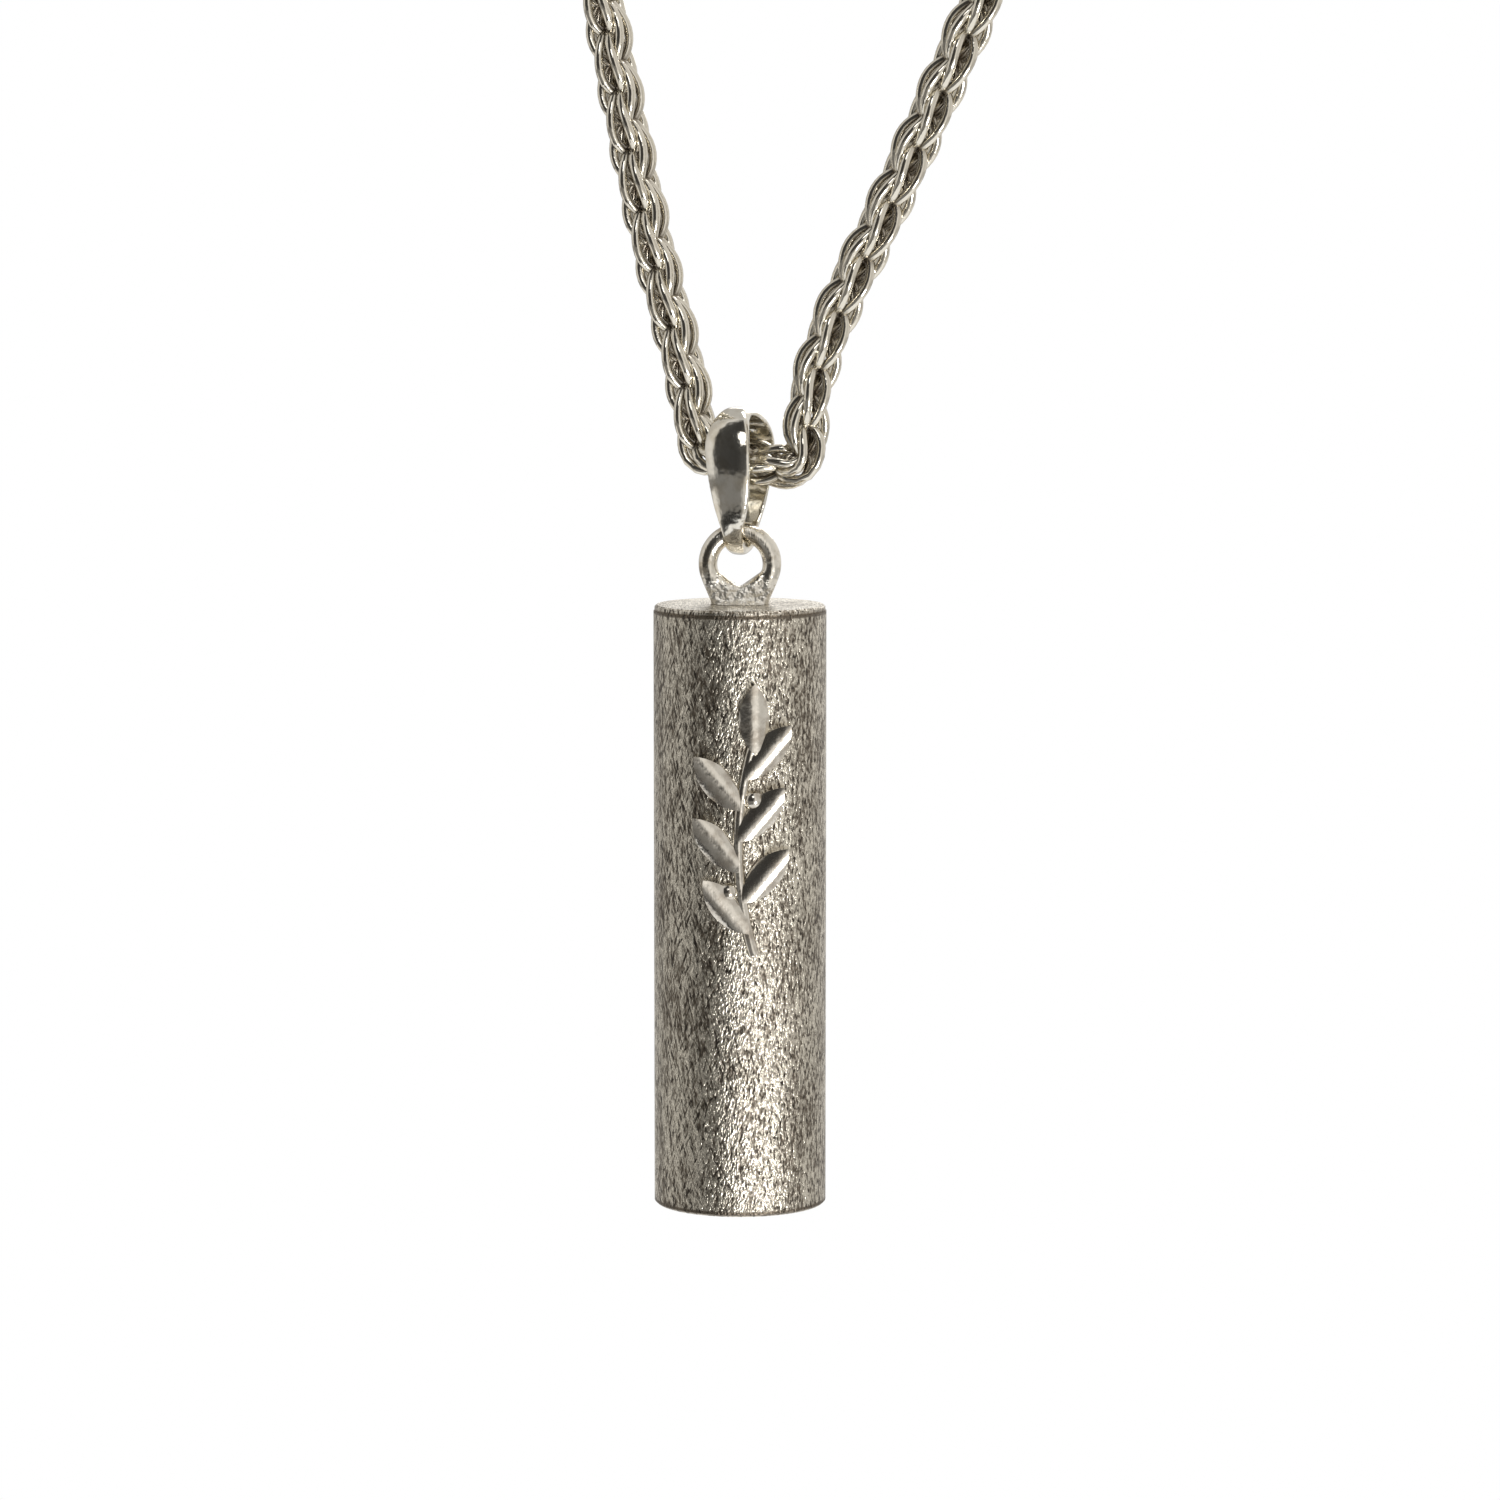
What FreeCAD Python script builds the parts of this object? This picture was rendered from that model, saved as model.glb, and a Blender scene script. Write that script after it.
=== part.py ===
"""A mezuzah case worn as a pendant: a silver tube that holds a rolled parchment.

The tube is closed by a soldered cap at the top and by a screwed plug, flush in its lower end.
A loop on the cap hangs in the tip of a folded bail, and the bail rides on a wheat chain whose two
strands end in cups, one with a lobster clasp and the other with the ring that it hooks into.

Frame: Z up, the front faces -Y. The origin is the bail's turning centre, in the middle of its eye.
Lengths are in millimetres and angles in degrees.
"""
import FreeCAD, Part
import math
import os

os.makedirs("parts", exist_ok=True)

V = FreeCAD.Vector
ORIGIN = V(0, 0, 0)
X_AXIS = V(1, 0, 0)
Y_AXIS = V(0, 1, 0)
Z_AXIS = V(0, 0, 1)

# --- Driving dimensions -------------------------------------------------------------------------
# Clearances between pieces
running_clearance = 0.05     # radial gap of a turning or sliding fit
solder_gap = 0.02            # gap that solder fills between two pieces of one body
link_clearance = 0.05        # slack where one ring hangs in another

# Case
case_diameter = 10.0
case_wall = 0.6
case_length = 35.0           # over the tube and the cap
case_edge_chamfer = 0.12     # the tube's lower rim is eased by this much
cap_thickness = 0.35
cap_inset = 0.06             # the cap's rim stands back from the tube's side by this much
cap_edge_chamfer = 0.12
spigot_length = 1.2          # the cap's shoulder inside the tube
spigot_bore = 6.4            # relief turned out of the shoulder

# Closing plug
plug_length = 3.2
plug_groove_depth = 0.25     # thread run-out behind the plug's head
plug_groove_width = 0.4
plug_head = 0.7
plug_chamfer = 0.3
slot_width = 0.9
slot_length = 5.2
slot_depth = 0.7

# Parchment
sheet_thickness = 0.2
roll_pitch = 0.5             # from one turn of the roll to the next
roll_core_radius = 0.95
roll_half_turns = 8
roll_headspace = 0.8         # free length above the roll

# Loop and its solder foot
loop_wire = 1.1
loop_diameter = 4.8          # outside
loop_sink = 0.07             # depth of the flat filed on the loop where it meets the cap
foot_width = 3.5             # of the solder where it spreads on the cap
foot_depth = 1.9
foot_height = 0.35
web_width = 3.2              # of the solder between the loop and the cap, at the cap
web_thickness = 1.06
web_edge_round = 0.3
web_rise = 1.3               # above the cap, to where the solder meets the loop's outside
hole_corner_angle = 70.0     # from the bottom of the loop's hole to where the solder in it ends

# Bail
bail_turn = 22.0             # turn of the bail about the vertical
arch_rise = 0.45             # the arch's centre above the turning centre
arch_radius = 1.85           # inside
tip_radius = 0.92            # inside
tip_rise = 0.1               # the tip's centre above the loop wire's centre
tip_hollow = 0.08            # the tip is hollowed round the loop's wire with this clearance
bail_wall = 0.5
crown_stretch = 1.2          # how much wider than deep the crowned outside is
bail_drop = 6.27             # from the turning centre to the loop's centre
leaf_outline = [             # half width, and depth below the bail's top, from the top to the toe
    (1.08, 0.85),
    (1.37, 2.9),
    (1.2, 4.7),
    (0.86, 6.3),
    (0.58, 7.4),
    (0.5, 8.2),
]
leaf_overrun = 0.2           # how far the leaf's cutting outline passes its top and toe

# Chain
chain_diameter = 2.8
chain_drop = 0.15            # the chain's line below the turning centre
left_route = [(-3.0, 0.0), (-6.25, 14.65), (-9.1, 29.1)]    # across and up, from the eye's middle
right_route = [(3.5, 0.0), (9.25, 14.65), (15.95, 28.9)]
bend_share = 0.45            # share of the shorter run that an arc takes at each corner

# End cups, rings and clasp
cup_wall = 0.3
cup_depth = 1.7              # length of chain inside the cup
cup_floor = 0.6
cup_bead = 0.12              # height of the lip rolled round the cup's mouth
cup_chamfer = 0.25
eye_thickness = 0.6          # of the flat eye on the cup's floor
eye_radius = 1.25
eye_hole_radius = 0.65
eye_sink = 0.3               # how far the eye's rim is let into the floor
jump_ring_wire = 0.7
jump_ring_radius = 1.75      # to the middle of the wire
end_ring_wire = 0.8
end_ring_radius = 2.2        # to the middle of the wire
clasp_thickness = 1.4
clasp_tab_thickness = 1.0
clasp_hole_radius = 0.8
clasp_tab_radius = 1.45
clasp_head_radius = 2.5
clasp_heel_radius = 1.3
clasp_arm_width = 1.05       # width of the claw's round side
claw_height = 6.6            # from the tab's hole to the claw's centre
heel_height = 2.0            # from the tab's hole to the heel's centre
throat_radius = 0.7          # narrow end of the claw's opening
throat_height = 4.2
pivot_across = 0.85
pivot_height = 3.0
lever_root_radius = 0.7
lever_root_thickness = 0.6
lever_reach = 4.3            # from the pivot to the lever's end
lever_split_height = 3.9     # top of the two cheeks that hold the lever
lever_step = 0.25            # from the cheeks to the wide part of the lever
gate_across = 0.49           # from the clasp's middle line to the lever's side of the throat
lever_clearance = 0.1
thumb_outline = [            # out from the claw's side, and up from the lever's lower end
    (0.0, 0.0),
    (1.75, -0.1),
    (1.85, 0.35),
    (0.2, 1.3),
]
pin_radius = 0.3
spring_strip = 0.16          # thickness of the folded strip
spring_leg = 1.0
spring_bend = 0.15           # to the middle of the strip

# Raised sprig
relief_height = 0.45
sprig_length = 15.6
sprig_top = 4.1              # below the cap's upper face
sprig_side = 0.35            # the sprig's middle, to the right of the case's middle
leaf_length = 4.1
leaf_width = 1.75
leaf_count = 6
leaf_spread = 40.0
first_leaf = 0.7             # the lowest leaf's height on the stem, as a share of the leaves' pitch
leaf_joint = 0.7             # how far the end leaf's base lies over the stem
leaf_crown_radius = 1.15     # of the blade's curve across its width
stem_radius = 0.32
stem_bow = 0.45              # how far the stem bends to each side of its middle line
olive_radius = 0.58
olive_rise = 0.6             # from the foot of the leaf opposite it to an olive's middle
olive_offset = 0.78          # from the stem to an olive's middle
olive_places = (1, 4)        # the leaves that have an olive opposite them

# --- Sizes that follow --------------------------------------------------------------------------
case_radius = case_diameter / 2
bore_radius = case_radius - case_wall
loop_radius = (loop_diameter - loop_wire) / 2
loop_z = -bail_drop
cap_top_z = loop_z - loop_diameter / 2 + loop_sink
tube_top_z = cap_top_z - cap_thickness
tube_bottom_z = cap_top_z - case_length
plug_top_z = tube_bottom_z + plug_length
chamber_top_z = tube_top_z - spigot_length
tip_z = loop_z + loop_radius + tip_rise


def save(name, shape):
    shape.exportStep("parts/%s.step" % name)


def polyline_face(points):
    wire = Part.makePolygon(points + points[:1])
    return Part.Face(wire)


def pear_edges(top_radius, top_z, tip_radius_, tip_z_):
    """Edges in the XZ plane of two circles on the Z axis, joined by their outer tangents."""
    lean = math.asin((top_radius - tip_radius_) / (top_z - tip_z_))
    right = V(math.cos(lean), 0, -math.sin(lean))
    left = V(-math.cos(lean), 0, -math.sin(lean))
    top = V(0, 0, top_z)
    tip = V(0, 0, tip_z_)
    arch = Part.Arc(top + right * top_radius, top + Z_AXIS * top_radius, top + left * top_radius)
    heel = Part.Arc(tip + left * tip_radius_, tip - Z_AXIS * tip_radius_, tip + right * tip_radius_)
    down = Part.LineSegment(top + left * top_radius, tip + left * tip_radius_)
    up = Part.LineSegment(tip + right * tip_radius_, top + right * top_radius)
    return [arch.toShape(), down.toShape(), heel.toShape(), up.toShape()]


def plate(face, thickness):
    """A face in the XZ plane made into a plate, half its thickness to each side of the plane."""
    solid = face.extrude(V(0, thickness, 0))
    solid.translate(V(0, -thickness / 2, 0))
    return solid


def pear_plate(top_radius, top_z, tip_radius_, tip_z_, thickness):
    outline = Part.Wire(pear_edges(top_radius, top_z, tip_radius_, tip_z_))
    return plate(Part.Face(outline), thickness)


def cross_cylinder(radius, length, across, height):
    """A cylinder along Y, centred on the XZ plane."""
    return Part.makeCylinder(radius, length, V(across, -length / 2, height), Y_AXIS)


def stretched(shape, x=1.0, y=1.0, z=1.0):
    matrix = FreeCAD.Matrix()
    matrix.scale(x, y, z)
    return shape.transformGeometry(matrix)


# --- Case ---------------------------------------------------------------------------------------
def case_tube():
    """A seamless tube, its lower rim eased outside."""
    points = [
        V(bore_radius, 0, tube_top_z),
        V(case_radius, 0, tube_top_z),
        V(case_radius, 0, tube_bottom_z + case_edge_chamfer),
        V(case_radius - case_edge_chamfer, 0, tube_bottom_z),
        V(bore_radius, 0, tube_bottom_z),
    ]
    return polyline_face(points).revolve(ORIGIN, Z_AXIS, 360)


def top_cap():
    """A disc with an eased rim and a hollow shoulder that centres it in the tube."""
    rim_radius = case_radius - cap_inset
    shoulder_radius = bore_radius - solder_gap
    points = [
        V(0, 0, cap_top_z),
        V(rim_radius - cap_edge_chamfer, 0, cap_top_z),
        V(rim_radius, 0, cap_top_z - cap_edge_chamfer),
        V(rim_radius, 0, tube_top_z),
        V(shoulder_radius, 0, tube_top_z),
        V(shoulder_radius, 0, chamber_top_z),
        V(spigot_bore / 2, 0, chamber_top_z),
        V(spigot_bore / 2, 0, tube_top_z),
        V(0, 0, tube_top_z),
    ]
    return polyline_face(points).revolve(ORIGIN, Z_AXIS, 360)


def bottom_plug():
    """The closure: a round plug with a thread run-out behind its head and a slot for a coin."""
    radius = bore_radius - running_clearance
    groove = radius - plug_groove_depth
    head_z = tube_bottom_z + plug_head
    points = [
        V(0, 0, tube_bottom_z),
        V(radius, 0, tube_bottom_z),
        V(radius, 0, head_z),
        V(groove, 0, head_z),
        V(groove, 0, head_z + plug_groove_width),
        V(radius, 0, head_z + plug_groove_width),
        V(radius, 0, plug_top_z - plug_chamfer),
        V(radius - plug_chamfer, 0, plug_top_z),
        V(0, 0, plug_top_z),
    ]
    plug = polyline_face(points).revolve(ORIGIN, Z_AXIS, 360)
    corner = V(-slot_length / 2, -slot_width / 2, tube_bottom_z)
    return plug.cut(Part.makeBox(slot_length, slot_width, slot_depth, corner))


def spiral_arcs(first_radius):
    """Half circles about two centres, each larger than the last by half the roll's pitch."""
    arcs = []
    for half_turn in range(roll_half_turns):
        side = 1 if half_turn % 2 == 0 else -1
        centre = V(-side * roll_pitch / 4, 0, 0)
        radius = first_radius + half_turn * roll_pitch / 2
        start = centre + X_AXIS * side * radius
        middle = centre + Y_AXIS * side * radius
        end = centre - X_AXIS * side * radius
        arcs.append(Part.Arc(start, middle, end).toShape())
    return arcs


def parchment_scroll():
    """One long sheet rolled from its inner edge outwards."""
    inner = spiral_arcs(roll_core_radius)
    outer = spiral_arcs(roll_core_radius + sheet_thickness)
    inner_edge = Part.makeLine(inner[0].firstVertex(True).Point, outer[0].firstVertex(True).Point)
    outer_edge = Part.makeLine(inner[-1].lastVertex(True).Point, outer[-1].lastVertex(True).Point)
    outline = Part.Wire(Part.__sortEdges__(inner + [outer_edge] + outer + [inner_edge]))
    length = chamber_top_z - plug_top_z - roll_headspace
    roll = Part.Face(outline).extrude(V(0, 0, length))
    roll.translate(V(0, 0, plug_top_z))
    return roll


# --- Loop ---------------------------------------------------------------------------------------
def wire_ring(radius, wire, centre, axis):
    """A closed ring of round wire. The radius is to the middle of the wire."""
    return Part.makeTorus(radius, wire / 2, centre, axis).toNurbs()


def hanging_loop():
    """A wire ring that stands on the cap, with solder in its corners and spread at its foot."""
    ring = wire_ring(loop_radius, loop_wire, V(0, 0, loop_z), Y_AXIS)
    outside = loop_diameter / 2
    inside = outside - loop_wire
    corner = math.radians(hole_corner_angle)
    corner_x = inside * math.sin(corner)
    corner_z = loop_z - inside * math.cos(corner)
    shoulder_z = cap_top_z + web_rise
    shoulder_x = math.sqrt(outside ** 2 - (loop_z - shoulder_z) ** 2)
    web = plate(polyline_face([
        V(-web_width / 2, 0, cap_top_z),
        V(web_width / 2, 0, cap_top_z),
        V(shoulder_x, 0, shoulder_z),
        V(corner_x, 0, corner_z),
        V(0, 0, loop_z - inside),
        V(-corner_x, 0, corner_z),
        V(-shoulder_x, 0, shoulder_z),
    ]), web_thickness)
    web = web.makeFillet(web_edge_round, [e for e in web.Edges if e.BoundBox.YLength < web_edge_round
                                          and e.BoundBox.ZMax > cap_top_z + web_edge_round])
    foot = Part.makeCone(foot_depth / 2, web_thickness / 2, foot_height, V(0, 0, cap_top_z))
    foot = stretched(foot, x=foot_width / foot_depth)
    below = Part.makeBox(
        case_diameter, case_diameter, loop_diameter,
        V(-case_radius, -case_radius, cap_top_z - loop_diameter),
    )
    return ring.cut(below).fuse([web, foot])


# --- Bail ---------------------------------------------------------------------------------------
def bail():
    """A drop-shaped leaf folded over the chain, crowned across its width, with a pear-shaped eye."""
    edges = pear_edges(arch_radius + bail_wall, arch_rise, tip_radius + bail_wall, tip_z)
    side = Part.Face(Part.Wire(edges))
    reach = arch_radius + bail_wall + bail_drop
    right_half = Part.makeBox(reach, reach, 2 * reach, V(0, -reach / 2, -reach))
    half = side.common(right_half)
    crowned = stretched(half.revolve(ORIGIN, Z_AXIS, 360), x=crown_stretch)
    top_z = arch_rise + arch_radius + bail_wall
    toe_z = tip_z - tip_radius - bail_wall
    right_side = [V(half_width, 0, top_z - depth) for half_width, depth in leaf_outline]
    left_side = [V(-p.x, 0, p.z) for p in reversed(right_side)]
    crest = [V(0, 0, top_z + leaf_overrun)]
    toe = [V(0, 0, toe_z - leaf_overrun)]
    outline = Part.BSplineCurve()
    outline.interpolate(crest + right_side + toe + left_side, PeriodicFlag=True)
    leaf = plate(Part.Face(Part.Wire(outline.toShape())), 2 * reach)
    eye = pear_plate(arch_radius, arch_rise, tip_radius, tip_z, 2 * reach)
    eye.rotate(ORIGIN, Z_AXIS, 90)
    shape = crowned.common(leaf).cut(eye)
    shape.rotate(ORIGIN, Z_AXIS, -bail_turn)
    hollow_radius = loop_wire / 2 + tip_hollow
    return shape.cut(Part.makeTorus(loop_radius, hollow_radius, V(0, 0, loop_z), Y_AXIS))


# --- Chain --------------------------------------------------------------------------------------
def chain_strand(start, route, other_corner):
    """A strand's envelope: straight runs and tangent arcs, from the eye's middle to the cup."""
    points = [V(across, 0, up) for across, up in route]
    section = math.pi * (chain_diameter / 2) ** 2
    here = start
    previous = V(other_corner[0], 0, other_corner[1])
    edges = []
    for corner, following in zip(points, points[1:]):
        incoming = corner - previous
        outgoing = following - corner
        turn = incoming.getAngle(outgoing)
        setback = bend_share * min(incoming.Length, outgoing.Length)
        radius = setback / math.tan(turn / 2)
        incoming.normalize()
        outgoing.normalize()
        first = corner - incoming * setback
        last = corner + outgoing * setback
        inward = outgoing - incoming
        inward.normalize()
        middle = corner + inward * (radius / math.cos(turn / 2) - radius)
        edges.append(Part.LineSegment(here, first).toShape())
        edges.append(Part.Arc(first, middle, last).toShape())
        print("chain bend radius %.2f mm" % radius)
        here = last
        previous = corner
    edges.append(Part.LineSegment(here, points[-1]).toShape())
    path = Part.Wire(edges)
    direction = edges[0].tangentAt(edges[0].FirstParameter)
    circle = Part.Wire(Part.Circle(start, direction, chain_diameter / 2).toShape())
    strand = path.makePipeShell([circle], True, False)
    print("chain volume %.3f, section times length %.3f" % (strand.Volume, section * path.Length))
    strand.translate(V(0, 0, -chain_drop))
    strand.rotate(ORIGIN, Z_AXIS, -bail_turn)
    return strand


def strand_tilt(route):
    """Lean of a strand's last run from the vertical, positive to the right."""
    across = route[-1][0] - route[-2][0]
    up = route[-1][1] - route[-2][1]
    return math.degrees(math.atan2(across, up))


def on_strand(shape, route, along):
    """Put a piece, built upright at the origin, past the end of a strand and in line with it."""
    tilt = strand_tilt(route)
    shape.translate(V(0, 0, along))
    shape.rotate(ORIGIN, Y_AXIS, tilt)
    shape.translate(V(route[-1][0], 0, route[-1][1] - chain_drop))
    shape.rotate(ORIGIN, Z_AXIS, -bail_turn)
    return shape


# --- End cups and rings, each built upright with its joint at z = 0 ------------------------------
cup_radius = chain_diameter / 2 + running_clearance + cup_wall
eye_height = cup_floor + eye_radius - eye_sink
jump_ring_height = eye_height + eye_hole_radius - jump_ring_wire / 2 - link_clearance
jump_ring_height += jump_ring_radius
end_ring_height = eye_height + eye_hole_radius - end_ring_wire / 2 - link_clearance
end_ring_height += end_ring_radius
clasp_height = jump_ring_height + jump_ring_radius + clasp_hole_radius
clasp_height -= jump_ring_wire / 2 + 3 * link_clearance
lever_room = 2 * lever_clearance   # round the lever's root and the spring


def end_cup(route):
    """A drawn cup over the chain's end, with a lip at its mouth and a flat eye on its floor."""
    inside = chain_diameter / 2 + running_clearance
    points = [
        V(0, 0, cup_floor),
        V(cup_radius - cup_chamfer, 0, cup_floor),
        V(cup_radius, 0, cup_floor - cup_chamfer),
        V(cup_radius, 0, 4 * cup_bead - cup_depth),
        V(cup_radius + cup_bead, 0, 3 * cup_bead - cup_depth),
        V(cup_radius + cup_bead, 0, cup_bead - cup_depth),
        V(cup_radius, 0, -cup_depth),
        V(inside, 0, -cup_depth),
        V(inside, 0, 0),
        V(0, 0, 0),
    ]
    cup = polyline_face(points).revolve(ORIGIN, Z_AXIS, 360)
    eye = cross_cylinder(eye_radius, eye_thickness, 0, eye_height)
    eye = eye.cut(cross_cylinder(eye_hole_radius, 2 * eye_thickness, 0, eye_height))
    return on_strand(cup.fuse(eye), route, 0)


def jump_ring(route):
    ring = wire_ring(jump_ring_radius, jump_ring_wire, ORIGIN, X_AXIS)
    return on_strand(ring, route, jump_ring_height)


def end_ring(route):
    ring = wire_ring(end_ring_radius, end_ring_wire, ORIGIN, X_AXIS)
    return on_strand(ring, route, end_ring_height)


# --- Lobster clasp, built upright with its tab's hole at the origin ------------------------------
def clasp_band(thickness):
    """The claw's closed outline with its opening, before the lever is parted from the body."""
    outside = pear_plate(clasp_head_radius, claw_height, clasp_heel_radius, heel_height, thickness)
    opening = pear_plate(clasp_head_radius - clasp_arm_width, claw_height,
                         throat_radius, throat_height, 2 * thickness)
    return outside.cut(opening)


def gate_side(low, inset, reach):
    """The lever's share of the claw: right of the throat, above a height, within a reach."""
    size = 2 * clasp_head_radius
    block = Part.makeBox(size, 2 * size, 2 * size, V(gate_across + inset, -size, low))
    return block.common(cross_cylinder(reach, 2 * size, pivot_across, pivot_height))


def clasp_body(route):
    """The claw with its tab, slotted for the lever's root and pocketed for the spring."""
    slot_thickness = lever_root_thickness + lever_clearance
    band = clasp_band(clasp_thickness)
    band = band.cut(gate_side(lever_split_height, 0, lever_reach + lever_clearance))
    slot_left = pivot_across - lever_root_radius - lever_room
    slot_low = pivot_height - lever_root_radius - lever_room
    slot = Part.makeBox(2 * clasp_head_radius, slot_thickness, lever_split_height - slot_low,
                        V(slot_left, -slot_thickness / 2, slot_low))
    pocket_depth = 2 * spring_bend + spring_strip + lever_room
    pocket = Part.makeBox(spring_leg + 2 * spring_bend + lever_room, slot_thickness,
                          pocket_depth + lever_clearance,
                          V(slot_left, -slot_thickness / 2, slot_low - pocket_depth))
    band = band.cut(slot).cut(pocket)
    tab = cross_cylinder(clasp_tab_radius, clasp_tab_thickness, 0, 0)
    hole = cross_cylinder(clasp_hole_radius, 2 * clasp_thickness, 0, 0)
    pin_hole = cross_cylinder(pin_radius + solder_gap / 2, 2 * clasp_thickness,
                              pivot_across, pivot_height)
    body = band.fuse(tab).cut(hole).cut(pin_hole)
    return on_strand(body, route, clasp_height)


def clasp_lever(route):
    """The part that opens the claw: a root between the cheeks, an arm and a thumb piece."""
    arm_low = lever_split_height + lever_step
    arm_thickness = clasp_thickness - 2 * lever_clearance
    arm = clasp_band(arm_thickness)
    arm = arm.common(gate_side(arm_low, lever_clearance, lever_reach))
    neck = clasp_band(lever_root_thickness)
    neck = neck.common(gate_side(pivot_height, lever_clearance, lever_reach))
    root = cross_cylinder(lever_root_radius, lever_root_thickness, pivot_across, pivot_height)
    side = clasp_heel_radius + lever_clearance
    thumb = plate(polyline_face([V(side + out, 0, arm_low + up) for out, up in thumb_outline]),
                  arm_thickness)
    thumb = thumb.cut(pear_plate(clasp_head_radius - clasp_arm_width, claw_height,
                                 throat_radius, throat_height, 2 * clasp_thickness))
    hole = cross_cylinder(pin_radius + running_clearance, clasp_thickness,
                          pivot_across, pivot_height)
    lever = arm.fuse([neck, root, thumb]).cut(hole)
    return on_strand(lever, route, clasp_height)


def lever_pin(route):
    pin = cross_cylinder(pin_radius, clasp_thickness, pivot_across, pivot_height)
    return on_strand(pin, route, clasp_height)


def hairpin(thickness):
    """The spring's outline, filled: two legs' height at the left and a round bend at the right."""
    left = pivot_across - lever_root_radius
    middle_z = pivot_height - lever_root_radius - lever_room - spring_strip / 2 - spring_bend
    radius = spring_bend + thickness / 2
    legs = Part.makeBox(spring_leg, lever_root_thickness, 2 * radius,
                        V(left, -lever_root_thickness / 2, middle_z - radius))
    return legs.fuse(cross_cylinder(radius, lever_root_thickness, left + spring_leg, middle_z))


def lever_spring(route):
    """A folded strip of spring steel in the pocket under the lever's root."""
    return on_strand(hairpin(spring_strip).cut(hairpin(-spring_strip)), route, clasp_height)


# --- Raised sprig -------------------------------------------------------------------------------
def laid_on_case(shape, across, height, tilt):
    """Tilt a piece of the relief and lay it on the case's front, across measured round the tube."""
    shape.rotate(ORIGIN, Y_AXIS, tilt)
    shape.translate(V(0, -case_radius, height))
    shape.rotate(ORIGIN, Z_AXIS, math.degrees(across / case_radius))
    return shape


def leaf(across, height, tilt):
    """A leaf on its base: two arcs that meet in a point at both ends, crowned across its width."""
    tip = V(0, 0, leaf_length)
    middle_z = leaf_length / 2
    right = Part.Arc(ORIGIN, V(leaf_width / 2, 0, middle_z), tip).toShape()
    left = Part.Arc(tip, V(-leaf_width / 2, 0, middle_z), ORIGIN).toShape()
    blade = plate(Part.Face(Part.Wire([right, left])), 4 * relief_height)
    crown = Part.makeCylinder(leaf_crown_radius, 2 * leaf_length,
                              V(0, leaf_crown_radius - relief_height, -middle_z))
    return laid_on_case(blade.common(crown), across, height, tilt)


def olive(across, height, tilt):
    return laid_on_case(Part.makeSphere(olive_radius), across, height, tilt)


def stem_across(share):
    """The stem's place to the right of the case's middle, at a share of its height."""
    return sprig_side + stem_bow * (1 - 8 * share * (1 - share))


def sprig_relief():
    """An olive sprig cast in one piece and soldered to the tube's front."""
    top_z = cap_top_z - sprig_top
    bottom_z = top_z - sprig_length
    stem_top_z = top_z - leaf_length + leaf_joint
    stem_length = stem_top_z - bottom_z
    stem = Part.Arc(*[
        V(stem_across(share), -case_radius, bottom_z + share * stem_length)
        for share in (0, 0.5, 1)
    ]).toShape()
    start = stem.valueAt(stem.FirstParameter)
    circle = Part.Wire(Part.Circle(start, stem.tangentAt(stem.FirstParameter), stem_radius).toShape())
    pieces = [leaf(stem_across(1), top_z - leaf_length, 0)]
    pitch = (stem_length - leaf_joint) / (leaf_count + 0.5)
    for number in range(leaf_count):
        side = -1 if number % 2 == 0 else 1
        height = bottom_z + pitch * (number + first_leaf)
        middle = stem_across((height - bottom_z) / stem_length)
        pieces.append(leaf(middle, height, side * leaf_spread))
        if number in olive_places:
            pieces.append(olive(middle - side * olive_offset, height + olive_rise, 0))
    sprig = Part.Wire(stem).makePipeShell([circle], True, False).fuse(pieces)
    core = Part.makeCylinder(case_radius, case_length, V(0, 0, tube_bottom_z))
    return sprig.cut(core)


# --- Write the pieces ---------------------------------------------------------------------------
save("case_tube", case_tube())
save("top_cap", top_cap())
save("bottom_plug", bottom_plug())
save("parchment_scroll", parchment_scroll())
save("hanging_loop", hanging_loop())
save("sprig_relief", sprig_relief())
save("bail", bail())
save("chain_left", chain_strand(ORIGIN, left_route, right_route[0]))
save("chain_right", chain_strand(ORIGIN, right_route, left_route[0]))
save("end_cup_left", end_cup(left_route))
save("end_cup_right", end_cup(right_route))
save("jump_ring", jump_ring(left_route))
save("end_ring", end_ring(right_route))
save("clasp_body", clasp_body(left_route))
save("clasp_lever", clasp_lever(left_route))
save("lever_pin", lever_pin(left_route))
save("lever_spring", lever_spring(left_route))
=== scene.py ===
"""A silver mezuzah case on a wheat chain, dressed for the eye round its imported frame."""

import bisect
import math

import bmesh
import bpy
from mathutils import Matrix, Vector


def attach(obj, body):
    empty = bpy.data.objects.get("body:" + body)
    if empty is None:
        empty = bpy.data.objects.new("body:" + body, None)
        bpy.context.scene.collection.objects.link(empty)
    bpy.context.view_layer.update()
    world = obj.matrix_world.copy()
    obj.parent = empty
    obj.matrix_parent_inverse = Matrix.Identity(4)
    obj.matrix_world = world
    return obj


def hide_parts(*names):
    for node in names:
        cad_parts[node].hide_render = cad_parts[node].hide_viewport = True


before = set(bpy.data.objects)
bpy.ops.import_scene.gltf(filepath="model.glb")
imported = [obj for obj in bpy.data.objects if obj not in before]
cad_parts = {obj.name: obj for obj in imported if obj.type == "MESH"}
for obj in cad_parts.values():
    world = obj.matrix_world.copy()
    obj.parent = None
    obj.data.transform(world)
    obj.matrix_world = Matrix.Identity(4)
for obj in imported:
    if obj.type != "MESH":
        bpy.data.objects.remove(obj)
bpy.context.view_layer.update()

# Camera. It looks at the pendant from straight in front and a little above the bail, with a long
# lens, so that the bail stands high in the picture and the case hangs in its lower half.
lens_across = math.radians(17.0)
camera_place = (0.00058, -0.289, 0.016)
camera_dip = 6.53
camera_data = bpy.data.cameras.new("camera")
camera_data.angle = lens_across
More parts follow.
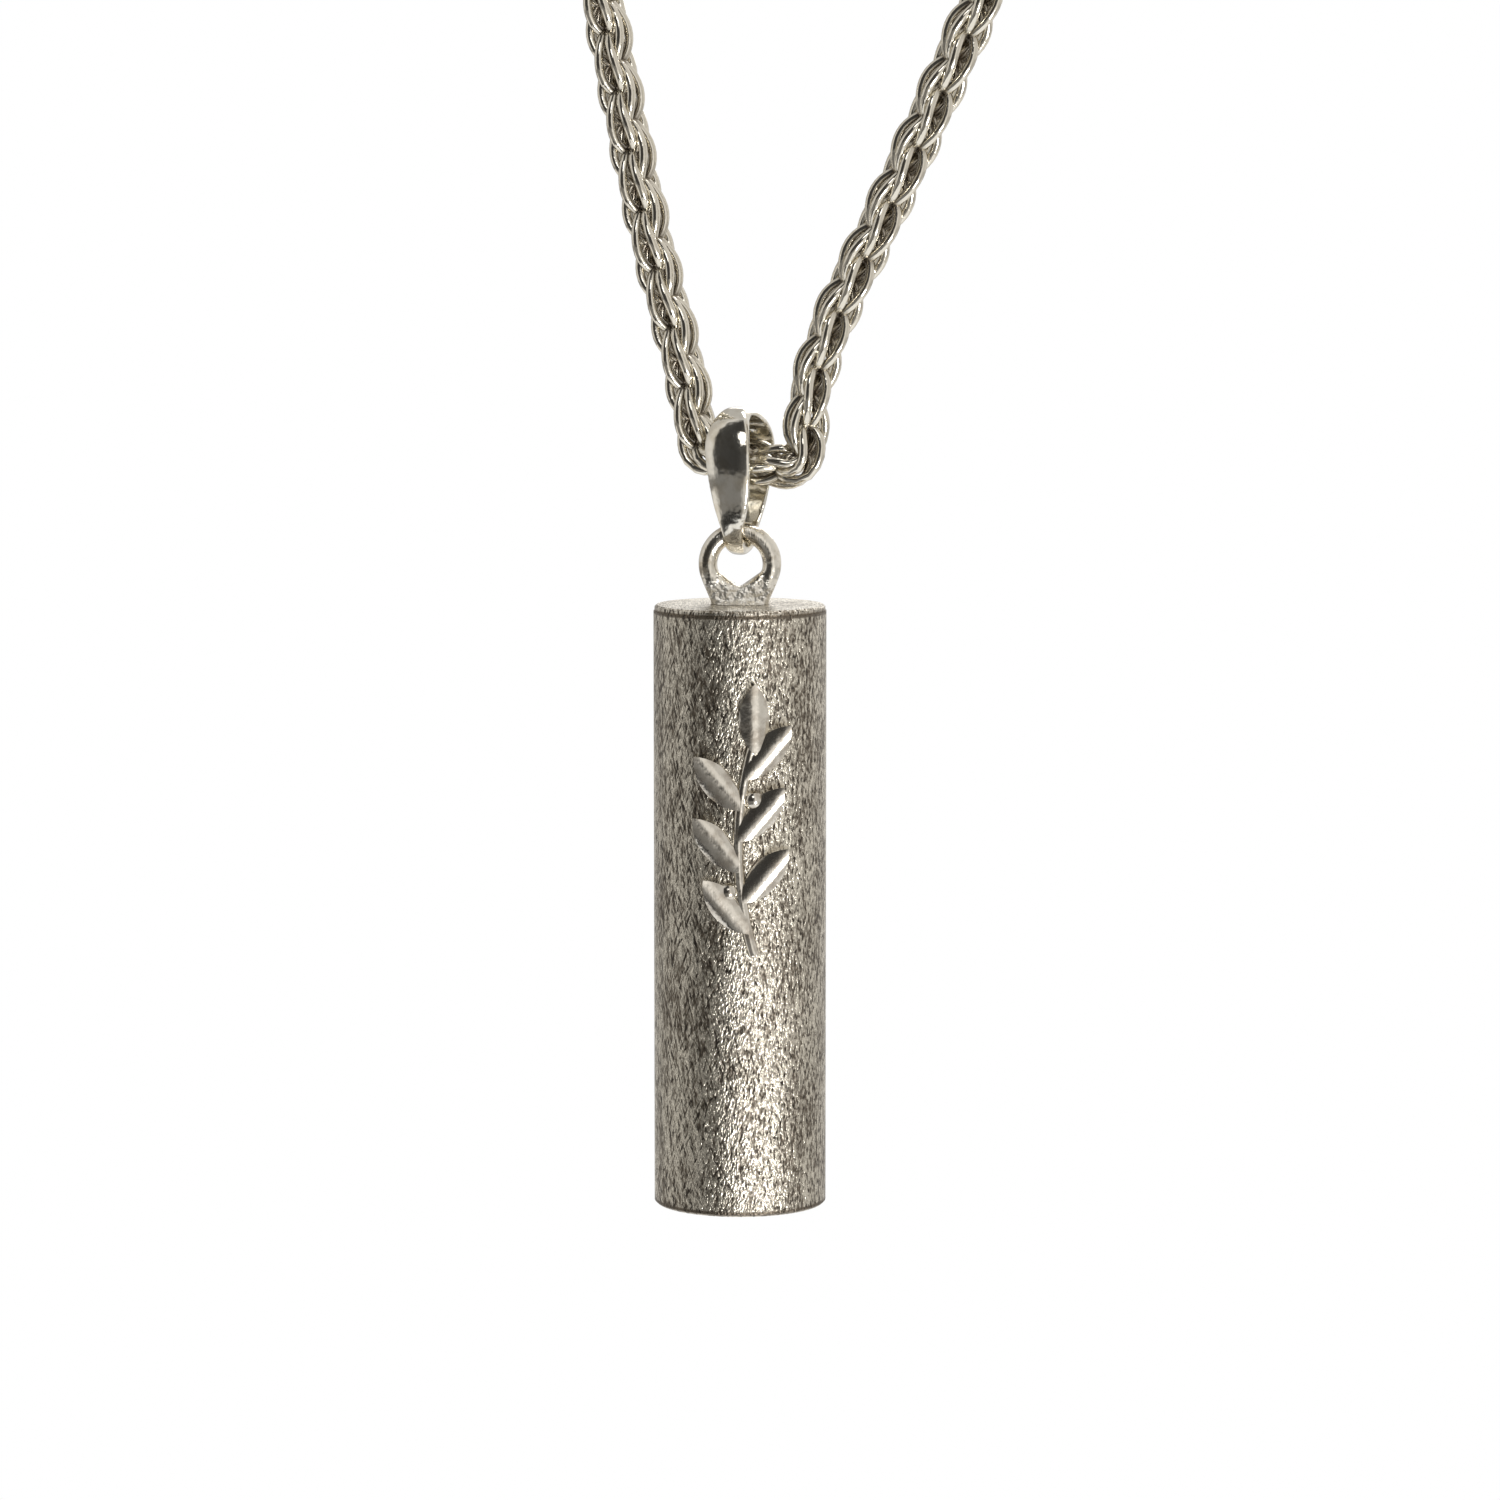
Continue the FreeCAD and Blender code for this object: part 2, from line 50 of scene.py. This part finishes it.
camera = bpy.data.objects.new("camera", camera_data)
camera.location = camera_place
camera.rotation_euler = (math.radians(90.0 - camera_dip), 0.0, 0.0)
bpy.context.collection.objects.link(camera)
bpy.context.scene.camera = camera
bpy.context.scene.view_settings.view_transform = "Standard"


# Chain. Two strands of silver wheat chain, 2.8 mm thick, that meet inside the bail. Each link is a
# ring of round wire, pinched and folded in half, whose two arms swell out beside the links next to
# it and tuck in under a fold further on. Every other link is turned by a quarter.
class Tone:
    """One value of a finish as it changes over a surface. Sums and products add Math nodes."""

    def __init__(self, tree, socket=None):
        self.tree = tree
        self.socket = socket

    def feed(self, target, value):
        """Links another node's value to a socket, or sets a plain one there."""
        if isinstance(value, Tone):
            self.tree.links.new(value.socket, target)
        else:
            target.default_value = value

    def node(self, kind, settings=None, inputs=None, output=0):
        """Adds a node: its settings come first, then the values or links of its sockets."""
        made = self.tree.nodes.new("ShaderNode" + kind)
        for name, value in (settings or {}).items():
            if name == "stops":
                ramp = made.color_ramp
                while len(ramp.elements) < len(value):
                    ramp.elements.new(1.0)
                for element, (place, colour) in zip(ramp.elements, value):
                    element.position = place
                    element.color = (*colour, 1.0)
            else:
                setattr(made, name, value)
        for name, value in (inputs or {}).items():
            self.feed(made.inputs[name], value)
        return Tone(self.tree, made.outputs[output])

    def sum_of(self, operation, first, second):
        """One Math node on two values."""
        return self.node("Math", {"operation": operation}, {0: first, 1: second})

    def __add__(self, other):
        return self.sum_of("ADD", self, other)

    def __radd__(self, other):
        return self.sum_of("ADD", other, self)

    def __sub__(self, other):
        return self.sum_of("SUBTRACT", self, other)

    def __rsub__(self, other):
        return self.sum_of("SUBTRACT", other, self)

    def __mul__(self, other):
        return self.sum_of("MULTIPLY", self, other)

    def __rmul__(self, other):
        return self.sum_of("MULTIPLY", other, self)

    def part(self, index):
        """One coordinate of a place: 0 is across, 1 is deep and 2 is tall."""
        return self.node("SeparateXYZ", None, {0: self}, index)

    def between(self, low, high):
        """0 at low, 1 at high, and smooth from one to the other."""
        return self.node("MapRange", {"interpolation_type": "SMOOTHSTEP"},
                         {0: self, 1: low, 2: high})

    def mix(self, first, second):
        """The first colour where this is 0, the second where it is 1."""
        return self.node("Mix", {"data_type": "RGBA"}, {0: self, 6: first, 7: second}, 2)


def start_finish(name, metallic=1.0):
    """A new material, its shader, and the places on the surface in millimetres."""
    material = bpy.data.materials.new(name)
    material.use_nodes = True
    shader = material.node_tree.nodes["Principled BSDF"]
    shader.inputs["Metallic"].default_value = metallic
    surface = Tone(material.node_tree)
    place = surface.node("TexCoord", output=3)
    millimetres = surface.node("VectorMath", {"operation": "SCALE"}, {0: place, "Scale": 1000.0})
    return material, shader, millimetres


def grain(place, size, detail=2.0, roughness=0.5):
    """Cloudy noise whose patches are about size millimetres, given as one length or three."""
    across, deep, tall = size if isinstance(size, tuple) else (size, size, size)
    scaled = place.node("Mapping", None, {0: place, 3: (1.0 / across, 1.0 / deep, 1.0 / tall)})
    return place.node("TexNoise", None, {"Vector": scaled, "Scale": 1.0, "Detail": detail,
                                         "Roughness": roughness})


def rounded(place, shader, height, depth):
    """Feeds a height pattern to the shader's normal: depth is in metres."""
    bump = place.node("Bump", None, {"Strength": 1.0, "Distance": depth, "Height": height})
    place.feed(shader.inputs["Normal"], bump)


def smooth_spline(name, places):
    """A curve with one smooth spline that the given places lead."""
    data = bpy.data.curves.new(name, "CURVE")
    data.dimensions = "3D"
    spline = data.splines.new("NURBS")
    spline.points.add(len(places) - 1)
    for point, place in zip(spline.points, places):
        point.co = (*place, 1.0)
    return data, spline


def mesh_of(data):
    """The mesh that a curve makes. The curve itself is removed."""
    holder = bpy.data.objects.new(data.name, data)
    mesh = bpy.data.meshes.new_from_object(holder)
    bpy.data.objects.remove(holder)
    bpy.data.curves.remove(data)
    return mesh


def finished(name, mesh_maker, material, smooth=True):
    """Turns a bmesh into a piece that stands at the origin, and frees it."""
    mesh = bpy.data.meshes.new(name)
    mesh_maker.to_mesh(mesh)
    mesh_maker.free()
    mesh.materials.append(material)
    if smooth:
        mesh.shade_smooth()
    piece = bpy.data.objects.new(name, mesh)
    bpy.context.collection.objects.link(piece)
    return piece


chain_radius = 0.0014
chain_pitch = 0.00174
chain_turn = math.radians(-22.0)
chain_drop = 0.00015
across_chain = Vector((math.cos(chain_turn), math.sin(chain_turn), 0.0))
away_from_front = Vector((-math.sin(chain_turn), math.cos(chain_turn), 0.0))
link_wire = 0.00027
link_arm = 0.0035
link_fold = 0.00045
link_swell = 0.00109
link_tuck = 0.00015
link_pinch = 0.0001
link_opening = 0.0007
link_points = 32
swell_fullness = 0.85
opening_rate = 1.3
opening_ease = 1.2
tip_fullness = 0.7


def link_line():
    """The middle of one link's wire: fold up at +Z, two arms down, the ring's width along Y."""
    line = []
    quarter_fold = link_fold * math.pi / 2.0
    half_length = link_arm + quarter_fold
    for number in range(link_points):
        turn = 2.0 * math.pi * number / link_points
        along = half_length * math.cos(turn)
        if abs(along) < quarter_fold:
            round_fold = abs(along) / link_fold
            out, down = link_fold * math.sin(round_fold), -link_fold * math.cos(round_fold)
        else:
            share = (abs(along) - quarter_fold) / link_arm
            swelling = max(0.0, math.sin(math.pi * share)) ** swell_fullness
            out = (link_fold + (link_swell - link_fold) * swelling
                   + (link_tuck - link_fold) * share ** 2)
            down = share * link_arm
        opening = min(1.0, abs(math.cos(turn)) * opening_rate) ** opening_ease
        round_tip = math.copysign(abs(math.sin(turn)) ** tip_fullness, math.sin(turn))
        width = (link_pinch + link_opening * opening) * round_tip
        line.append(Vector((math.copysign(out, along), width, -down)))
    return line


def link_mesh(name):
    """One link of round wire, with each point's distance from the strand's middle."""
    data, spline = smooth_spline(name, link_line())
    spline.order_u = 4
    spline.use_cyclic_u = True
    spline.resolution_u = 2
    data.bevel_depth = link_wire
    data.bevel_resolution = 2
    mesh = mesh_of(data)
    wire = bmesh.new()
    wire.from_mesh(mesh)
    bmesh.ops.remove_doubles(wire, verts=wire.verts, dist=link_wire * 0.02)
    bmesh.ops.recalc_face_normals(wire, faces=wire.faces)
    from_middle = wire.verts.layers.float.new("outward")
    for vertex in wire.verts:
        vertex[from_middle] = vertex.co.xy.length / chain_radius
    wire.to_mesh(mesh)
    wire.free()
    return mesh


def route_points(name, route):
    """Points close together on the smooth line of a strand's route."""
    data, spline = smooth_spline(name, [
        across_chain * across + Vector((0.0, 0.0, up - chain_drop)) for across, up in route])
    spline.order_u = 3
    spline.use_endpoint_u = True
    spline.resolution_u = 48
    mesh = mesh_of(data)
    points = [vertex.co.copy() for vertex in mesh.vertices]
    bpy.data.meshes.remove(mesh)
    return points


def strand(name, route, roll, fold_away, node):
    """One strand of links along its route, and the route's points."""
    path = route_points(name + "_route", route)
    reached = [0.0]
    for first, second in zip(path, path[1:]):
        reached.append(reached[-1] + (second - first).length)
    links = bmesh.new()
    template = link_mesh(name + "_link")
    for number in range(int(reached[-1] / chain_pitch)):
        before = len(links.verts)
        links.from_mesh(template)
        links.verts.ensure_lookup_table()
        quarter = 90.0 if number % 2 else 0.0
        turning = Matrix.Rotation(math.radians(roll + quarter), 3, "Z")
        for vertex in links.verts[before:]:
            turned = turning @ vertex.co
            height = turned.z + link_arm * 0.5
            along = (number + 0.5) * chain_pitch + (height if fold_away else -height)
            step = min(max(bisect.bisect(reached, along) - 1, 0), len(path) - 2)
            heading = (path[step + 1] - path[step]).normalized()
            right = away_from_front.cross(heading if fold_away else -heading)
            vertex.co = (path[step] + heading * (along - reached[step]) + right * turned.x
                         + away_from_front * turned.y)
    piece = finished(name, links, chain_silver)
    bpy.data.meshes.remove(template)
    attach(piece, "chain")
    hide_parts(node)
    return piece, path


chain_silver, chain_shader, chain_place = start_finish("chain_silver")
# Painted shade: the wire's colour darkens towards the strand's middle, where the links crowd and
# hide each other's wires, so the inner wires look shaded. Noise mixes some real wear into the same
# mask, and the roughness follows it.
painted_shade_silver, unshaded_rubbed_silver = (0.15, 0.12, 0.085, 1.0), (0.80, 0.755, 0.655, 1.0)
outward = chain_place.node("Attribute", {"attribute_name": "outward"}, output=2)
wear_and_painted_shade = (outward + 0.3 * grain(chain_place, 0.5) - 0.15).between(0.25, 0.7)
chain_place.feed(chain_shader.inputs["Base Color"], wear_and_painted_shade.mix(painted_shade_silver, unshaded_rubbed_silver))
chain_place.feed(chain_shader.inputs["Roughness"],
                 0.26 - 0.15 * wear_and_painted_shade + 0.06 * grain(chain_place, 0.2))
rounded(chain_place, chain_shader, grain(chain_place, 0.45), 0.00002)

left_route = [(0.0, 0.0), (-0.002, -0.0003), (-0.0027, 0.0013), (-0.0034, 0.0052),
              (-0.0062, 0.01465), (-0.0091, 0.0291)]
right_route = [(0.0, 0.0), (0.0024, -0.0006), (0.0042, -0.0002), (0.004, 0.0031),
               (0.0058, 0.0084), (0.00925, 0.01465), (0.01595, 0.0289)]
left_roll, right_roll = 84.0, 45.0
left_links, left_path = strand("chain_left_links", left_route, left_roll, True, "chain_left")
right_links, right_path = strand("chain_right_links", right_route, right_roll, False, "chain_right")


# End cups, rings and clasp. Plain polished silver findings above the strands: a cup over each cut
# end of chain, a jump ring with a lobster clasp on the left, and the ring that it hooks on the
# right. The clasp's lever turns on a steel pin, and a folded steel spring shuts it.
def polished_silver(name, light, dark, wear):
    """Worn bright silver, with soft dents, hair scratches and a warm tarnish in patches."""
    material, shader, place = start_finish(name)
    tarnish = grain(place, 0.9, 3.0).between(0.38, 0.72)
    scuffs = grain(place, (0.05, 0.9, 0.9))
    place.feed(shader.inputs["Base Color"], tarnish.mix(light, dark))
    place.feed(shader.inputs["Roughness"], 0.09 + 0.16 * wear * scuffs + 0.1 * wear * tarnish)
    rounded(place, shader, grain(place, 0.55) + 0.12 * scuffs, 0.00003 * wear)
    return material


def cover(node, material):
    """Gives a carried-over part its finish."""
    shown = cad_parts[node]
    if not shown.material_slots:
        shown.data.materials.append(material)
    for slot in shown.material_slots:
        slot.material = material


finding_wear = 0.4
finding_silver = polished_silver("finding_silver", (0.83, 0.80, 0.74, 1.0), (0.66, 0.61, 0.53, 1.0),
                                 finding_wear)
for finding in ("end_cup_left", "end_cup_right", "jump_ring", "end_ring", "clasp_body",
                "clasp_lever"):
    cover(finding, finding_silver)

spring_steel, spring_shader, spring_place = start_finish("spring_steel")
bright_steel, dull_steel = (0.55, 0.55, 0.55, 1.0), (0.42, 0.42, 0.43, 1.0)
spring_place.feed(spring_shader.inputs["Base Color"],
                  grain(spring_place, 0.3).mix(bright_steel, dull_steel))
spring_place.feed(spring_shader.inputs["Roughness"], 0.2 + 0.2 * grain(spring_place, 0.2))
for spring_part in ("lever_pin", "lever_spring"):
    cover(spring_part, spring_steel)


# Bail. One strip of silver, crowned and tapered, folded over the chain and pinched together below
# it round the loop, then polished until its edges are round.
def softened(name, node, rounds, material, foot=-1.0):
    """A copy of a part, rebuilt on a fine grid and smoothed above its foot, to ease its edges.

    rounds holds pairs: the height below which to smooth, and how many times.
    """
    copied = bmesh.new()
    copied.from_mesh(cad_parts[node].data)
    bmesh.ops.remove_doubles(copied, verts=copied.verts, dist=1e-6)
    piece = finished(name, copied, material)
    rebuild = piece.modifiers.new("rebuild", "REMESH")
    rebuild.mode = "VOXEL"
    rebuild.voxel_size = rebuild_grid
    with bpy.context.temp_override(object=piece):
        bpy.ops.object.modifier_apply(modifier="rebuild")
    copied = bmesh.new()
    copied.from_mesh(piece.data)
    for height, count in rounds:
        for _ in range(count):
            eased = [vertex for vertex in copied.verts if foot < vertex.co.z < height]
            bmesh.ops.smooth_vert(copied, verts=eased, factor=0.5,
                                  use_axis_x=True, use_axis_y=True, use_axis_z=True)
    copied.to_mesh(piece.data)
    copied.free()
    piece.data.shade_smooth()
    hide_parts(node)
    return piece


rebuild_grid = 0.00006
bail_rounds = ((0.01, 6),)
bright_bail, tarnished_bail = (0.86, 0.83, 0.75, 1.0), (0.70, 0.65, 0.55, 1.0)
belly_height = -2.16
crest_height = 0.7
crest_ease = 0.8
belly_bow = 0.061
bail_silver, bail_shader, bail_place = start_finish("bail_silver")
bail_scuffs = grain(bail_place, (0.05, 0.9, 0.9))
bail_tarnish = grain(bail_place, 0.9, 3.0).between(0.38, 0.72)
bail_place.feed(bail_shader.inputs["Base Color"], bail_tarnish.mix(bright_bail, tarnished_bail))
bail_place.feed(bail_shader.inputs["Roughness"], 0.08 + 0.05 * bail_scuffs)
below_crest = bail_place.node("Math", {"operation": "SMOOTH_MIN"}, {
    0: bail_place.part(2), 1: crest_height, 2: crest_ease})
from_belly = below_crest - belly_height
bail_dents = 0.03 * grain(bail_place, 0.9) + 0.002 * bail_scuffs
rounded(bail_place, bail_shader, bail_dents - belly_bow * from_belly * from_belly, 0.001)
bail = softened("bail_polished", "bail", bail_rounds, bail_silver)
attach(bail, "bail")


# Loop. A ring of 1.1 mm round silver wire, stood on the cap and soldered there. The solder has run
# into the corners beside the ring and a little way up into its hole, and was left as it froze.
loop_foot = -0.00855
loop_rounds = ((-0.0074, 12), (-0.0070, 10), (-0.0066, 8), (-0.0062, 6), (-0.002, 3))
solder_top, solder_full = -7.0, -7.7
bright_wire, tarnished_wire = (0.87, 0.83, 0.74, 1.0), (0.62, 0.56, 0.46, 1.0)
solder_white = (0.98, 0.94, 0.85, 1.0)
loop_silver, loop_shader, loop_place = start_finish("loop_silver")
soldered = loop_place.part(2).between(solder_top, solder_full)
lumps = grain(loop_place, 0.5)
hairlines = grain(loop_place, (0.08, 0.8, 0.8))
worn_wire = grain(loop_place, 0.8).between(0.4, 0.65).mix(bright_wire, tarnished_wire)
loop_place.feed(loop_shader.inputs["Base Color"], soldered.mix(worn_wire, solder_white))
loop_place.feed(loop_shader.inputs["Roughness"], 0.12 + 0.1 * hairlines + 0.14 * soldered)
loop_place.feed(loop_shader.inputs["Metallic"], 1.0 - 0.2 * soldered)
rounded(loop_place, loop_shader, lumps * (0.1 + 0.9 * soldered) + 0.04 * hairlines, 0.0003)
loop = softened("loop_and_solder", "hanging_loop", loop_rounds, loop_silver, loop_foot)
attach(loop, "case")


# Case. A silver tube closed by a soldered cap. Years of wear have covered both with fine scratches,
# most of them up and down, over a greyed surface. The back rubs on cloth, which keeps it cleaner.
def scratched_silver(name, light, dark, height, seams):
    """Scratches that lean a little from the upright, bright on their crests, dark at seams."""
    material, shader, place = start_finish(name)
    scratches = []
    for lean, width, length in scratch_strokes:
        lean = math.radians(lean)
        leaning = place.node("Mapping", None, {0: place, 2: (lean, lean, 0.0)})
        scratches.append(grain(leaning, (width, width, length), 2.0, 0.6))
    hatch = (0.3 * scratches[0] + 0.3 * scratches[1] + 0.25 * scratches[2] + 0.15 * scratches[3])
    clouds = grain(place, (1.5, 1.5, 6.0))
    shade = (0.85 * hatch + 0.15 * clouds).between(0.44, 0.56)
    for seam in seams:
        off_seam = place.part(2) - seam
        shade = shade * (off_seam * off_seam).between(0.002, 0.03)
    unpitted = scratches[0].between(0.35, 0.40) * scratches[1].between(0.35, 0.40)
    cleaned = 0.5 * place.part(1).between(0.5, 3.5)
    unpitted = unpitted + cleaned * (1.0 - unpitted)
    bright = shade + cleaned * (1.0 - shade)
    place.feed(shader.inputs["Base Color"], unpitted.mix(pit_grey, bright.mix(dark, light)))
    place.feed(shader.inputs["Roughness"], 0.34 - 0.12 * shade)
    rounded(place, shader, hatch, height)
    return material


# Each stroke's lean in degrees, and its width and length in millimetres.
scratch_strokes = ((11.0, 0.14, 0.8), (-16.0, 0.13, 0.7), (3.0, 0.2, 1.3), (34.0, 0.13, 0.4))
pit_grey = (0.07, 0.06, 0.05, 1.0)
cap_seam, plug_seam = -8.97, -43.42
tube_silver = scratched_silver("tube_silver", (0.85, 0.80, 0.685, 1.0), (0.19, 0.16, 0.125, 1.0),
                               0.00019, (cap_seam, plug_seam))
cover("case_tube", tube_silver)
cap_silver = scratched_silver("cap_silver", (0.93, 0.88, 0.77, 1.0), (0.24, 0.20, 0.15, 1.0),
                              0.00014, (cap_seam,))
cover("top_cap", cap_silver)


# Sprig. An olive sprig in low relief, cast in one piece of silver and soldered to the case's
# front. Its silver is worn and tarnished in random patches.
sprig_wear = 0.8
sprig_silver = polished_silver("sprig_silver", (0.80, 0.76, 0.68, 1.0), (0.5, 0.45, 0.38, 1.0),
                               sprig_wear)
cover("sprig_relief", sprig_silver)


# Plug. A screwed silver plug, flush in the tube's lower end, with a slot for a coin across its
# head and a fine thread above it.
thread_pitch = 0.5
thread_foot, thread_full = -42.5, -42.3
scratched_plug, bright_plug = (0.62, 0.57, 0.48, 1.0), (0.85, 0.81, 0.72, 1.0)
plug_silver, plug_shader, plug_place = start_finish("plug_silver")
plug_scratches = grain(plug_place, (0.1, 0.7, 0.4), 3.0)
plug_place.feed(plug_shader.inputs["Base Color"],
                plug_scratches.between(0.4, 0.6).mix(scratched_plug, bright_plug))
plug_place.feed(plug_shader.inputs["Roughness"], 0.22 + 0.15 * plug_scratches)
share_of_turn = plug_place.sum_of("ARCTAN2", plug_place.part(1), plug_place.part(0)) * (
    1.0 / (2.0 * math.pi))
turns_up = plug_place.part(2) * (1.0 / thread_pitch) + share_of_turn + 100.0
thread = plug_place.sum_of("PINGPONG", turns_up, 0.5)
threaded = plug_place.part(2).between(thread_foot, thread_full)
rounded(plug_place, plug_shader, 0.05 * plug_scratches + 0.6 * thread * threaded, 0.0004)
cover("bottom_plug", plug_silver)


# Scroll. A strip of parchment, rolled up and kept inside the case. It stands on the plug and comes
# out with it.
dark_fibre, pale_fibre = (0.62, 0.48, 0.30, 1.0), (0.78, 0.66, 0.46, 1.0)
parchment, parchment_shader, parchment_place = start_finish("parchment", 0.0)
fibres = grain(parchment_place, (0.4, 0.4, 0.9), 4.0, 0.6)
parchment_place.feed(parchment_shader.inputs["Base Color"],
                     fibres.between(0.3, 0.7).mix(pale_fibre, dark_fibre))
parchment_place.feed(parchment_shader.inputs["Roughness"], 0.55 + 0.2 * fibres)
rounded(parchment_place, parchment_shader, fibres, 0.00004)
cover("parchment_scroll", parchment)


# Studio. A pale floor below the hanging case, a white room and soft lamps. Rings of grey cards
# stand all round, and only polished metal sees them.
def straight_sight(tone):
    """1 for rays that see the room plain white: to the camera, off a gloss or through glass."""
    path = tone.node("LightPath").socket.node
    camera_ray, glossy_ray, through_ray = (
        Tone(tone.tree, path.outputs[kind])
        for kind in ("Is Camera Ray", "Is Glossy Ray", "Is Transmission Ray"))
    return tone.node("Clamp", None, {0: camera_ray + glossy_ray + through_ray})


floor_size, floor_height, floor_grey = 3.0, -0.5, 0.9
white = (1.0, 1.0, 1.0, 1.0)
floor_bmesh = bmesh.new()
bmesh.ops.create_grid(floor_bmesh, x_segments=1, y_segments=1, size=floor_size)
bmesh.ops.translate(floor_bmesh, verts=floor_bmesh.verts, vec=(0.0, 0.0, floor_height))
floor_finish = bpy.data.materials.new("pale_floor")
floor_finish.use_nodes = True
floor_nodes = floor_finish.node_tree.nodes
floor_shader = floor_nodes["Principled BSDF"]
floor_shader.inputs["Base Color"].default_value = (floor_grey, floor_grey, floor_grey, 1.0)
floor_shader.inputs["Roughness"].default_value = 0.9
floor_tone = Tone(floor_finish.node_tree)
floor_mix = floor_tone.node("MixShader", None, {
    0: straight_sight(floor_tone),
    1: Tone(floor_finish.node_tree, floor_shader.outputs[0]),
    2: floor_tone.node("Emission", None, {"Color": white, "Strength": 1.0})})
floor_tone.feed(floor_nodes["Material Output"].inputs["Surface"], floor_mix)
floor = finished("floor", floor_bmesh, floor_finish, smooth=False)

room_light = 0.45
world = bpy.data.worlds.new("white_room")
bpy.context.scene.world = world
world.use_nodes = True
room = Tone(world.node_tree)
background = world.node_tree.nodes["Background"]
room.feed(background.inputs["Color"], white)
room.feed(background.inputs["Strength"], room_light + (1.0 - room_light) * straight_sight(room))

room_radius = 0.7
surround_bmesh = bmesh.new()
bmesh.ops.create_uvsphere(surround_bmesh, u_segments=48, v_segments=24, radius=room_radius)
surround_finish = bpy.data.materials.new("grey_cards")
surround_finish.use_nodes = True
surround_nodes = surround_finish.node_tree.nodes
surround_nodes.remove(surround_nodes["Principled BSDF"])
surround = Tone(surround_finish.node_tree)
bearing = surround.node("TexCoord", output=3)
azimuth = surround.sum_of("ARCTAN2", bearing.part(0), -1.0 * bearing.part(1)) * (
    1.0 / (2.0 * math.pi)) + 0.5
height = bearing.part(2) * (1.0 / room_radius)


def ring_of_cards(stops):
    """Warm grey levels round the room, as degrees to the right of the front and a level."""
    return surround.node("ValToRGB", {"stops": [
        (degrees / 360.0 + 0.5, (level, level * 0.97, level * 0.93))
        for degrees, level in stops]}, {0: azimuth})


upper_cards = ring_of_cards([
    (-180, 0.5), (-155, 0.5), (-100, 0.6), (-76, 0.8), (-66, 0.06), (-20, 0.04), (2, 0.08),
    (12, 0.85), (28, 0.85), (36, 0.6), (70, 0.65), (90, 0.7), (155, 0.8), (180, 0.5)])
middle_cards = ring_of_cards([
    (-180, 0.5), (-165, 0.9), (-150, 0.35), (-60, 0.2), (-6, 0.23), (8, 0.95),
    (34, 0.95), (46, 0.55), (60, 0.48), (150, 0.5), (165, 0.9), (180, 0.5)])
lower_cards = ring_of_cards([
    (-180, 0.8), (-84, 0.85), (-74, 0.24), (-30, 0.2), (-10, 0.22), (2, 0.7),
    (34, 0.7), (50, 0.46), (95, 0.45), (110, 0.8), (180, 0.8)])
dark_cards = ring_of_cards([
    (-180, 0.8), (-100, 0.8), (-84, 0.03), (-14, 0.03), (4, 0.6), (180, 0.8)])
room_cards = (0.8, 0.78, 0.74, 1.0)
for foot, full, ring in ((-0.90, -0.87, dark_cards), (-0.63, -0.59, lower_cards),
                         (-0.36, -0.28, middle_cards), (-0.20, -0.12, upper_cards)):
    room_cards = height.between(foot, full).mix(room_cards, ring)
surround_glow = surround.node("Emission", None, {"Color": room_cards, "Strength": 1.0})
surround.feed(surround_nodes["Material Output"].inputs["Surface"], surround_glow)
cards = finished("grey_cards", surround_bmesh, surround_finish)
cards.visible_camera = False
cards.visible_diffuse = False
cards.visible_shadow = False
cards.visible_transmission = False

lit_middle = Vector((0.0, 0.0, -0.02))
for lamp_name, lamp_place, lamp_size, lamp_power in (
        ("key_lamp", (-0.05, -0.35, 0.285), 0.16, 0.17),
        ("low_lamp", (0.17, -0.36, -0.21), 0.14, 0.8),
        ("top_lamp", (0.15, 0.30, 0.55), 0.30, 1.0),
        ("back_lamp", (0.1, 0.5, 0.2), 0.3, 0.3)):
    lamp_data = bpy.data.lights.new(lamp_name, "AREA")
    lamp_data.shape = "DISK"
    lamp_data.size = lamp_size
    lamp_data.energy = lamp_power
    lamp = bpy.data.objects.new(lamp_name, lamp_data)
    lamp.location = lamp_place
    lamp.rotation_euler = (lit_middle - Vector(lamp_place)).to_track_quat("-Z", "Y").to_euler()
    bpy.context.collection.objects.link(lamp)
